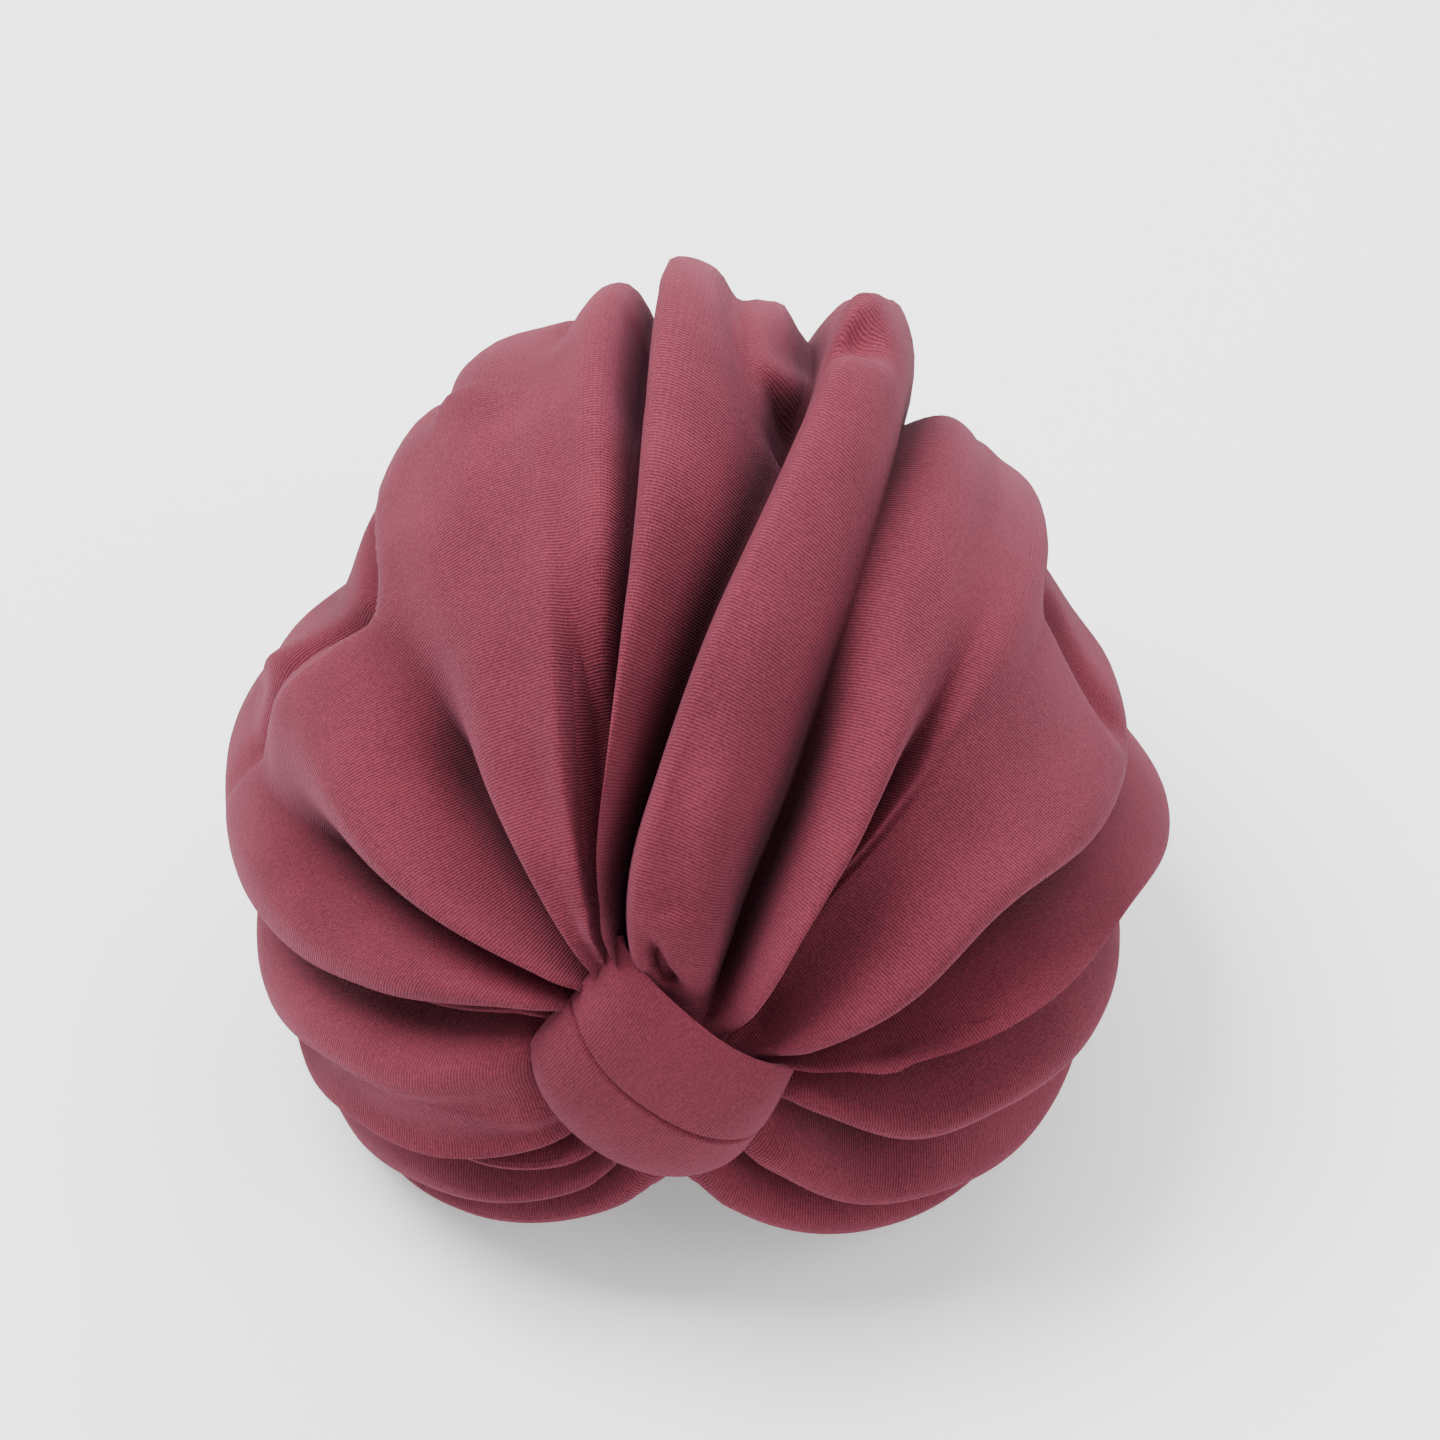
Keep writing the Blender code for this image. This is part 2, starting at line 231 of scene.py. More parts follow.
# Columns: name, start, turns at the stations, floors at the levels
VALLEYS = tuple(Valley(*row) for row in (
    ("rim_right", 12, (-86, -67, -53, -40, -30, -21, 32), (0.4, 0.0, 0.0, -0.2, -0.2, -0.17, 0.0)),
    ("r5_r6", 8, (-56, -46, -39, -34, -24, -13, 38), (-0.4, -0.9, -0.8, -0.7, -0.3, -0.14, 0.0)),
    ("r4_r5", 8, (-10, -19, -17, -17, -16, -6, 44), (-0.8, -1.3, -1.0, -0.8, -0.3, -0.11, 0.0)),
    ("r3_r4", 9, (14, 15, 10, 6, -4, 3, 51), (-0.6, -1.6, -1.6, -1.0, -0.3, -0.11, 0.0)),
    ("r2_r3", 9, (18, 23, 25, 17, 13, 17, 58), (-0.5, -0.9, -1.1, -0.9, -0.4, -0.2, 0.0)),
    ("r2_soft", 8, (38, 49, 49.5, 44, 36, 37, 65), (-0.6, -0.4, 0.5, 1.15, 0.6, 0.1, 0.0)),
    ("r1_r2", 7, (42, 53, 53, 52, 50, 51, 72), (-0.9, -1.3, -0.5, 1.0, 1.2, 0.9, 0.0)),
    ("c2_r1", 8, (64, 66, 66.5, 68, 64, 56, 78), (-0.9, -1.4, -1.1, 0.3, 0.2, -0.4, 0.0)),
    ("c1_c2", 12, (106, 102, 93, 85, 76, 76, 84), (-0.5, -0.8, -0.9, -0.8, -0.5, 0.1, 0.0)),
    ("l6_c1", 13, (107, 105, 100, 96.5, 95.5, 96, 92), (-0.8, -1.3, -1.4, -0.5, -0.9, -0.86, 0.0)),
    ("l6_soft", 12, (111, 109, 107, 106, 108, 106, 100), (0.3, 0.9, 1.2, 1.2, 0.9, 0.7, 0.0)),
    ("l5_l6", 12, (115, 124, 129, 130, 151, 145, 110), (-0.9, -1.6, -1.4, 0.5, 0.1, -0.1, 0.0)),
    ("l4_l5", 11, (126, 140, 156, 164, 168, 157, 118), (-0.8, -1.4, -1.1, 0.8, 1.0, 0.4, 0.0)),
    ("l3b_l4", 10, (137, 159, 173, 181, 184, 170, 122), (-0.6, -1.4, -1.0, -0.6, -0.3, -0.17, 0.0)),
    ("l3_l3b", 10, (147, 168, 178, 184, 187, 174, 127), (-0.5, -0.6, -0.5, -0.6, -0.3, -0.17, 0.0)),
    ("l2_l3", 8, (200, 193, 192, 197, 196, 187, 132), (0.7, 1.1, 0.9, -0.2, -0.3, -0.28, 0.0)),
    ("l1b_l2", 8, (221, 208, 203, 207, 204, 193, 137), (-0.4, -0.7, -0.7, -0.6, -0.3, -0.17, 0.0)),
    ("l1_l1b", 8, (236, 219, 206, 210, 207, 196, 140), (-0.3, -0.5, -0.5, -0.6, -0.3, -0.17, 0.0)),
    ("l0_l1", 10, (251, 234, 226, 220, 212, 199, 144), (-0.2, -0.4, -0.5, -0.5, -0.3, -0.19, 0.0)),
    ("rim_left", 12, (276, 250, 234, 225, 216, 203, 148), (0.4, 0.0, 0.0, -0.2, -0.2, -0.17, 0.0)),
))

# Columns: name, rises at the levels, lean, crest, fullness
FOLDS = tuple(Fold(*row) for row in (
    ("r6", (0.6, 0.9, 0.6, 0.1, 0.0, 0.01, 0.2), -0.2, (0.45, 0.45), (1.0, 0.5)),
    ("r5", (0.6, 1.0, 1.0, 0.8, 0.5, 0.38, 0.3), -0.6, (0.35, 0.35), (1.0, 0.4)),
    ("r4", (0.6, 1.2, 1.3, 1.2, 0.8, 0.61, 0.3), -0.6, (0.35, 0.35), (1.0, 0.1)),
    ("r3", (0.6, 1.3, 1.7, 1.45, 1.9, 1.7, 0.3), -0.7, (0.35, 0.35), (1.0, 0.5)),
    ("r2_low", (0.6, 1.4, 1.6, 1.7, 0.9, -0.1, 0.3), -0.5, (0.4, 0.4), (1.0, 0.1)),
    ("r2_top", (-0.7, -0.6, 0.4, 1.3, 1.35, 1.2, 0.3), 0.0, (0.5, 0.5), (0.1, 0.2)),
    ("r1", (0.6, 1.2, 1.3, 1.2, 1.2, 0.7, 0.3), -0.2, (0.45, 0.45), (0.2, 0.8)),
    ("c2", (0.6, 1.3, 1.5, 1.6, 2.35, 1.9, 0.3), 0.3, (0.78, 0.42), (1.0, 1.0)),
    ("c1", (0.6, 1.2, 1.3, 1.4, 1.8, 1.3, 0.3), 0.25, (0.72, 0.8), (0.5, 1.0)),
    ("l6_back", (0.2, 0.0, -0.2, 1.0, 1.3, 1.0, 0.3), 0.1, (0.4, 0.4), (1.0, 0.1)),
    ("l6", (0.6, 1.0, 1.1, 1.2, 1.45, 1.1, 0.3), 0.0, (0.5, 0.2), (0.1, 0.0)),
    ("l5", (0.6, 1.2, 1.5, 1.6, 0.7, -0.5, 0.3), 0.4, (0.4, 0.4), (0.3, 0.0)),
    ("l4", (0.6, 1.2, 1.4, 1.5, 1.6, 1.35, 0.3), 0.5, (0.35, 0.35), (0.6, 1.0)),
    ("l3b", (0.2, 0.2, 0.0, -0.4, -0.2, -0.09, 0.1), 0.3, (0.5, 0.5), (0.9, 0.9)),
    ("l3", (0.6, 1.3, 1.4, 1.3, 0.9, 0.74, 0.3), 0.4, (0.5, 0.5), (0.9, 0.3)),
    ("l2", (0.6, 1.3, 1.3, 0.9, 0.6, 0.47, 0.3), 0.5, (0.6, 0.6), (0.2, 1.0)),
    ("l1b", (0.6, 0.8, 0.2, -0.4, -0.2, -0.09, 0.1), 0.3, (0.6, 0.6), (0.5, 1.0)),
    ("l1", (0.6, 0.9, 0.8, 0.6, 0.5, 0.44, 0.3), 0.4, (0.6, 0.6), (0.4, 1.0)),
    ("l0", (0.6, 0.8, 0.5, 0.1, 0.0, 0.01, 0.2), 0.2, (0.5, 0.5), (0.6, 0.8)),
))

# Columns: name, height, clockwise, counter, fades, line
STROKES = tuple(Stroke(*row) for row in (
    ("l6_ridge_by_slit", 1.6, 4.0, 5.0, (0.0, 0.4), (
        (107, 24), (108, 29), (106, 38), (105, 46), (103, 53),
    )),
    ("l6_ridge", 1.4, 5.0, 4.0, (0.0, 0.5), (
        (110, 24), (113, 32), (114, 40), (116, 48), (116, 57), (115, 65),
    )),
    ("c2_soft_valley", -2.6, 5.0, 5.0, (0.1, 0.5), (
        (85, 24), (85, 29), (85, 34), (85, 39), (85, 45), (85, 49),
    )),
    ("c2_notch", -8.0, 1.7, 1.7, (0.0, 0.6), (
        (88, 17), (91, 19), (92, 21), (93, 24),
    )),
    ("c2_right_ridge", 1.4, 3.5, 4.0, (0.0, 0.5), (
        (73, 16), (75, 24), (78, 35), (79, 43), (79, 48),
    )),
    ("r3_pleat_top", 3.0, 2.2, 1.6, (0.0, 0.2), (
        (22, 20), (18, 24), (12, 31), (5, 38),
    )),
    ("r3_pleat_hollow", -3.5, 1.4, 1.4, (0.4, 0.2), (
        (12, 27), (8, 32), (3, 38),
    )),
    ("l4_roll_crease", -1.4, 1.1, 1.1, (0.0, 0.3), (
        (145, 17), (154, 20), (162, 26), (169, 32), (173, 39),
    )),
    ("top_pocket", -7.0, 4.0, 4.0, (0.0, 0.0), (
        (78, 83), (78, 87),
    )),
    ("top_slit", -6.0, 2.0, 5.0, (0.4, 0.0), (
        (94, 76), (95, 81), (95, 88), (95, 95),
    )),
    ("r2_dent", -4.0, 4.0, 5.0, (0.0, 0.4), (
        (38, 83), (34, 80), (28, 77), (21, 74),
    )),
    ("c2_hollow", -6.0, 3.5, 3.5, (0.0, 0.0), (
        (71, 99), (68, 107),
    )),
    ("c2_lip", 2.0, 2.4, 2.4, (0.2, 0.2), (
        (76, 91), (72, 91), (69, 94), (64, 107),
    )),
    ("left_bulge_line", 2.0, 3.0, 2.0, (0.2, 0.3), (
        (170, 88), (167, 90), (157, 83), (147, 76),
    )),
    ("front_panel_edge", 1.5, 8.0, 2.0, (0.25, 0.0), (
        (166, 68), (158, 68), (153, 68), (148, 69), (142, 69), (138, 70), (133, 70), (131, 73),
        (131, 77), (131, 83), (127, 87), (123, 90), (119, 89), (115, 88),
    )),
    ("behind_panel", -6.0, 2.0, 4.5, (0.25, 0.1), (
        (177, 80), (164, 74), (158, 74), (152, 74), (146, 74), (142, 74), (137, 73), (135, 76),
        (135, 81), (136, 89), (135, 100), (130, 102),
    )),
    ("l6_soft_valley", -1.8, 4.0, 4.0, (0.3, 0.5), (
        (108, 27), (109, 34), (110, 39), (110, 45), (110, 51),
    )),
    ("slit", -4.0, 2.0, 4.0, (0.1, 0.35), (
        (105, 24), (105, 27), (104, 32), (103, 38), (101, 44), (99, 50), (97, 56),
    )),
    ("l6_shoulder_notch", -6.5, 2.2, 7.0, (0.3, 0.4), (
        (121, 84), (121, 92), (121, 98), (121, 110), (121, 122),
    )),
    ("c1_top_crease", -5.0, 3.0, 3.0, (0.4, 0.5), (
        (82, 74), (82, 82), (83, 90), (84, 98), (84, 110), (85, 128),
    )),
    ("c1_second_lobe", 3.0, 3.0, 3.0, (0.3, 0.5), (
        (79, 92), (79, 100), (79, 112), (80, 126),
    )),
    ("c2_back_lip", 3.2, 5.0, 5.0, (0.15, 0.25), (
        (79, 87), (76, 92), (72, 96), (67, 99),
    )),
    ("l6_dip", -1.4, 6.0, 6.0, (0.4, 0.4), (
        (118, 72), (116, 64), (113, 56),
    )),
    ("l6_low_ridge", 1.3, 3.5, 3.5, (0.4, 0.4), (
        (112, 52), (109, 42), (107, 33),
    )),
    ("c2_face_dip", -0.9, 5.0, 5.0, (0.4, 0.4), (
        (79, 64), (81, 54), (82, 44),
    )),
    ("r1_soft_dip", -1.2, 4.0, 5.0, (0.4, 0.4), (
        (60, 72), (60, 62), (60, 52),
    )),
    ("l6_soft_ridge", 1.6, 6.0, 4.0, (0.4, 0.3), (
        (131, 66), (128, 56), (124, 46), (119, 36), (115, 28),
    )),
    ("c2_top_hollow", -7.0, 4.5, 4.5, (0.0, 0.0), (
        (74, 88), (70, 89.5),
    )),
    ("l6_back_notch", -3.0, 3.0, 3.0, (0.3, 0.5), (
        (106, 90), (106, 98), (105, 108), (104, 124),
    )),
))


@dataclass
class BaseForm:
    """Smooth form under the folds, and the two poles that the folds run between.

    The reaches are its half sizes from its middle, which lies middle_height over the rim. The
    tapers narrow it towards the top and the back, and a squareness over 2 makes it boxier.
    gather_lift and gather_turn point the gather, and nape_drop lowers the far pole, from the
    angle drop_from on, in degrees.
    """

    half_width: float = 100 * MM
    front_reach: float = 110 * MM
    back_reach: float = 108 * MM
    top_reach: float = 116 * MM
    low_reach: float = 170 * MM
    middle_height: float = 50 * MM
    top_taper: float = 0.18
    back_taper: float = 0.14
    front_squareness: float = 2.35
    rise_squareness: float = 2.1
    round_height: float = 0.7
    least_roundness: float = 0.1
    gather_lift: float = 8.0
    gather_turn: float = -3.0
    nape_drop: float = 30.0
    drop_from: float = 60.0
    passes: int = 10

    def axes(self) -> tuple[np.ndarray, np.ndarray, np.ndarray]:
        """Axes of the front gather.

        Returns:
            Unit directions out of it, to the +X side and up along the cloth.
        """
        lift = math.radians(self.gather_lift)
        turn = math.radians(self.gather_turn)
        level = math.cos(lift)
        front = np.array([math.sin(turn) * level, -math.cos(turn) * level, math.sin(lift)])
        side = np.array([math.cos(turn), math.sin(turn), 0.0])
        return front, side, np.cross(front, side)

    def direction(self, around: np.ndarray, along: np.ndarray) -> np.ndarray:
        """Unit directions from the middle of the form.

        Args:
            around: Turn round the gather from the +X side, in degrees.
            along: Angle away from the gather, in degrees.

        Returns:
            Directions, with one more axis than the angles.
        """
        front, side, up = self.axes()
        away = np.radians(along)[..., None]
        turn = np.radians(around)[..., None]
        way = np.cos(away) * front + np.sin(away) * (np.cos(turn) * side + np.sin(turn) * up)
        late = smooth((along - self.drop_from) / (180.0 - self.drop_from))
        drop = math.radians(self.nape_drop) * late
        cos, sin = np.cos(drop), np.sin(drop)
        x, y, z = np.moveaxis(way, -1, 0)
        return np.stack([x, y * cos + z * sin, z * cos - y * sin], -1)

    def radius(self, way: np.ndarray) -> np.ndarray:
        """Distance from the middle to the form along unit directions.

        Args:
            way: Unit directions.

        Returns:
            One distance for each direction.
        """
        radius = np.full(way.shape[:-1], self.half_width)
        for _ in range(self.passes):
            x, y, z = np.moveaxis(way * radius[..., None], -1, 0)
            rearward = np.clip(y / self.back_reach, 0.0, 1.0)
            upward = np.clip(z / self.top_reach, 0.0, 1.0)
            taper = self.top_taper * smooth(upward) + self.back_taper * smooth(rearward)
            width = self.half_width * (1.0 - taper)
            depth = np.where(y < 0.0, self.front_reach, self.back_reach)
            height = np.where(z > 0.0, self.top_reach, self.low_reach)
            roundness = z / (self.round_height * self.top_reach) + self.least_roundness
            roundness = np.clip(roundness + rearward, 0.0, 1.0)
            square = self.front_squareness + (2.0 - self.front_squareness) * roundness
            ring = (np.abs(x) / width) ** square + (np.abs(y) / depth) ** square
            rise = self.rise_squareness
            level = ring ** (rise / square) + (np.abs(z) / height) ** rise
            radius = radius / level ** (1.0 / rise)
        return radius

    def over(self, way: np.ndarray, height: np.ndarray) -> np.ndarray:
        """Points over the form by the given heights, in the part's own frame."""
        point = way * (self.radius(way) + height)[..., None]
        return point + np.array([0.0, 0.0, self.middle_height])


class NodeValue:
    """Shader value that takes part in plain arithmetic.

    Args:
        shader: The tree that new nodes are added to.
        socket: The output that this value stands for.
    """

    def __init__(self, shader: Shader, socket: bpy.types.NodeSocket) -> None:
        self.shader = shader
        self.socket = socket

    def _maths(self, operation: str, *values: NodeValue | float) -> NodeValue:
        """Math node on these values."""
        return self.shader.node("ShaderNodeMath", {"operation": operation}, dict(enumerate(values)))

    def __add__(self, other: NodeValue | float) -> NodeValue:
        """Sum."""
        return self._maths("ADD", self, other)

    __radd__ = __add__

    def __sub__(self, other: NodeValue | float) -> NodeValue:
        """Difference."""
        return self._maths("SUBTRACT", self, other)

    def __rsub__(self, other: NodeValue | float) -> NodeValue:
        """Difference from a number."""
        return self._maths("SUBTRACT", other, self)

    def __mul__(self, other: NodeValue | float) -> NodeValue:
        """Product."""
        return self._maths("MULTIPLY", self, other)

    __rmul__ = __mul__

    def wave(self) -> NodeValue:
        """Sine of the value, moved to the range 0 to 1."""
        return self._maths("SINE", self) * 0.5 + 0.5

    def clamped(self) -> NodeValue:
        """Value kept between 0 and 1."""
        return self.shader.node("ShaderNodeClamp", {}, {0: self})


class Shader:
    """Node tree of one material.

    Args:
        name: The material's name.
    """

    def __init__(self, name: str) -> None:
        self.material = bpy.data.materials.new(name)
        self.material.use_nodes = True
        self.tree = self.material.node_tree
        self.surface = self.tree.nodes["Principled BSDF"]

    def node(self, kind: str, settings: dict, inputs: dict, output: int | str = 0) -> NodeValue:
        """Add a node.

        Args:
            kind: The node's type.
            settings: Properties set on the node first.
            inputs: Values or links by socket name or number.
            output: The output that is read.

        Returns:
            The chosen output.
        """
        made = self.tree.nodes.new(kind)
        for key, value in settings.items():
            setattr(made, key, value)
        for key, value in inputs.items():
            self.feed(made.inputs[key], value)
        return NodeValue(self, made.outputs[output])

    def feed(self, socket: bpy.types.NodeSocket, value: object) -> None:
        """Link a value to a socket, or set it there.

        Args:
            socket: The input to fill.
            value: A node's value, or a plain number, colour or name.
        """
        if isinstance(value, NodeValue):
            self.tree.links.new(value.socket, socket)
        else:
            socket.default_value = value

    def set(self, **sockets: object) -> None:
        """Set or link sockets of the surface, with underscores for spaces."""
        for name, value in sockets.items():
            self.feed(self.surface.inputs[name.replace("_", " ")], value)

    def mix(self, share: NodeValue | float, low: object, high: object) -> NodeValue:
        """Colour between two colours."""
        return self.node(
            "ShaderNodeMix", {"data_type": "RGBA"}, {0: share, 6: low, 7: high}, output=2
        )


@dataclass(frozen=True)
class Grain:
    """Soft random pattern: how fine it is, and how many finer layers lie on it."""

    scale: float
    detail: float

    def over(self, shader: Shader, place: NodeValue) -> NodeValue:
        """Random value from 0 to 1 at each place."""
        inputs = {"Vector": place, "Scale": self.scale, "Detail": self.detail}
        return shader.node("ShaderNodeTexNoise", {"noise_dimensions": "3D"}, inputs)


@dataclass(frozen=True)
class JerseyFinish:
    """Fine jersey knit with a soft nap.

    shade and light are the cloth's darkest and lightest tones, and the crease colour is
    painted shade that the cloth is darkened towards far down in a crease. course is the pitch
    of the knit lines along the cloth and wale the pitch of the stitches across it, in metres.
    The depths are heights of relief, and the tones and line_strength tell how much each
    pattern changes the colour.
    """

    name: str
    shade: tuple[float, float, float, float]
    light: tuple[float, float, float, float]
    course: float = 0.74 * MM
    wale: float = 0.58 * MM
    depth: float = 0.22 * MM
    line_strength: float = 0.8
    sheen: float = 0.11
    nap_tint: tuple[float, float, float, float] = (1.0, 0.34, 0.56, 1.0)
    # Painted shade for the creases: its colour, and how much of it is mixed into the cloth
    shade_paint: tuple[float, float, float, float] = (0.015, 0.0020, 0.0038, 1.0)
    painted_shade_share: float = 0.82
    line_part: float = 0.75
    stitch_bend: float = 2.4
    wander: Grain = Grain(55.0, 3.0)
    wander_turn: float = 4.0
    patches: Grain = Grain(30.0, 4.0)
    patch_tone: float = 0.9
    specks: Grain = Grain(1500.0, 2.0)
    speck_tone: float = 1.3
    speck_depth: float = 0.10 * MM
    fuzz: Grain = Grain(420.0, 3.0)
    fuzz_depth: float = 0.30 * MM
    relief: float = 0.8
    roughness: float = 0.93
    sheen_roughness: float = 0.45
    specular: float = 0.18

    def build(self) -> bpy.types.Material:
        """Make the material from the cloth's own map, whose units are metres.

        Returns:
            The material.
        """
        shader = Shader(self.name)
        place = shader.node("ShaderNodeUVMap", {"uv_map": "cloth"}, {})
        part = shader.node("ShaderNodeSeparateXYZ", {}, {0: place})
        across, along = part, NodeValue(shader, part.socket.node.outputs[1])
        solid = shader.node("ShaderNodeTexCoord", {}, {}, output="Object")
        turn = 2.0 * math.pi
        wander = self.wander.over(shader, solid)
        line = (along * (turn / self.course) + wander * self.wander_turn).wave()
        stitch = (across * (turn / self.wale) + line * self.stitch_bend).wave()
        knit = line * self.line_part + stitch * (1.0 - self.line_part)
        patches = self.patches.over(shader, solid)
        specks = self.specks.over(shader, solid)
        fuzz = self.fuzz.over(shader, solid)
        tone = (knit - 0.5) * self.line_strength + (patches - 0.5) * self.patch_tone
        tone = tone + (specks - 0.5) * self.speck_tone
        cloth = shader.mix((tone + 0.5).clamped(), self.shade, self.light)
        # Painted shade: the cloth colour is pulled towards the crease colour by the mesh's shade
        # amount
        hollow = shader.node(
            "ShaderNodeAttribute", {"attribute_name": "hollow"}, {}, output="Fac"
        )
        colour = shader.mix(hollow * self.painted_shade_share, cloth, self.shade_paint)
        height = knit * self.depth + fuzz * self.fuzz_depth + specks * self.speck_depth
        bump = shader.node(
            "ShaderNodeBump", {}, {"Strength": self.relief, "Distance": 1.0, "Height": height}
        )
        shader.set(Base_Color=colour, Normal=bump, Roughness=self.roughness, Metallic=0.0)
        shader.set(Sheen_Weight=self.sheen, Sheen_Roughness=self.sheen_roughness)
        shader.set(Sheen_Tint=self.nap_tint, Specular_IOR_Level=self.specular)
        return shader.material


def spread_out(values: np.ndarray, width: float, axis: int) -> np.ndarray:
    """Soften a grid of values along one axis.

    Args:
        values: The grid.
        width: Width of the softening bell, in cells.
        axis: The axis that it runs along.

    Returns:
        The softened grid, of the same shape.
    """
    reach = int(BELL_REACH * width)
    bell = np.exp(-0.5 * (np.arange(-reach, reach + 1) / width) ** 2)
    ends = [(reach, reach) if number == axis else (0, 0) for number in range(values.ndim)]
    padded = np.pad(values, ends, mode="edge")
    return np.apply_along_axis(np.convolve, axis, padded, bell / bell.sum(), mode="valid")


def only(thing: bpy.types.Object) -> None:
    """Select one object and make it the active one.

    Args:
        thing: The object.
    """
    bpy.ops.object.select_all(action="DESELECT")
    thing.select_set(True)
    bpy.context.view_layer.objects.active = thing


def cloth_grid(
    name: str, points: np.ndarray, uv: np.ndarray, crease_shade_amounts: np.ndarray
) -> bpy.types.Object:
    """Lay a grid primitive out as cloth and weld it where its edges meet.

    Args:
        name: The piece's name.
        points: Places, by column and row.
        uv: Flat places in metres, by column and row.
        crease_shade_amounts: Painted shade for each place, from how far down it lies in a crease,
            from 0 to 1, by column and row.

    Returns:
        The piece, at the origin.
    """
    columns, rows = points.shape[:2]
    bpy.ops.object.select_all(action="DESELECT")
    bpy.ops.mesh.primitive_grid_add(x_subdivisions=columns - 1, y_subdivisions=rows - 1, size=2.0)
    piece = bpy.context.object
    piece.name = name
    piece.data.name = name
    mesh = piece.data
    flat = np.empty(len(mesh.vertices) * 3)
    mesh.vertices.foreach_get("co", flat)
    flat = flat.reshape(-1, 3)
    column = np.rint((flat[:, 0] + 1.0) / 2.0 * (columns - 1)).astype(int)
    row = np.rint((flat[:, 1] + 1.0) / 2.0 * (rows - 1)).astype(int)
    mesh.vertices.foreach_set("co", points[column, row].ravel())
    corner = np.empty(len(mesh.loops), int)
    mesh.loops.foreach_get("vertex_index", corner)
    layer = mesh.uv_layers.active or mesh.uv_layers.new()
    layer.name = "cloth"
    layer.data.foreach_set("uv", uv[column, row][corner].ravel())
    # Painted shade amounts for the creases, read by the material
    shade_paint = mesh.attributes.new("hollow", "FLOAT", "POINT")
    shade_paint.data.foreach_set("value", crease_shade_amounts[column, row].astype(np.float32))
    mesh.update()
    only(piece)
    bpy.ops.object.mode_set(mode="EDIT")
    bpy.ops.mesh.select_all(action="SELECT")
    bpy.ops.mesh.remove_doubles(threshold=WELD)
    bpy.ops.mesh.normals_make_consistent(inside=False)
    bpy.ops.object.mode_set(mode="OBJECT")
    bpy.ops.object.shade_smooth()
    return piece


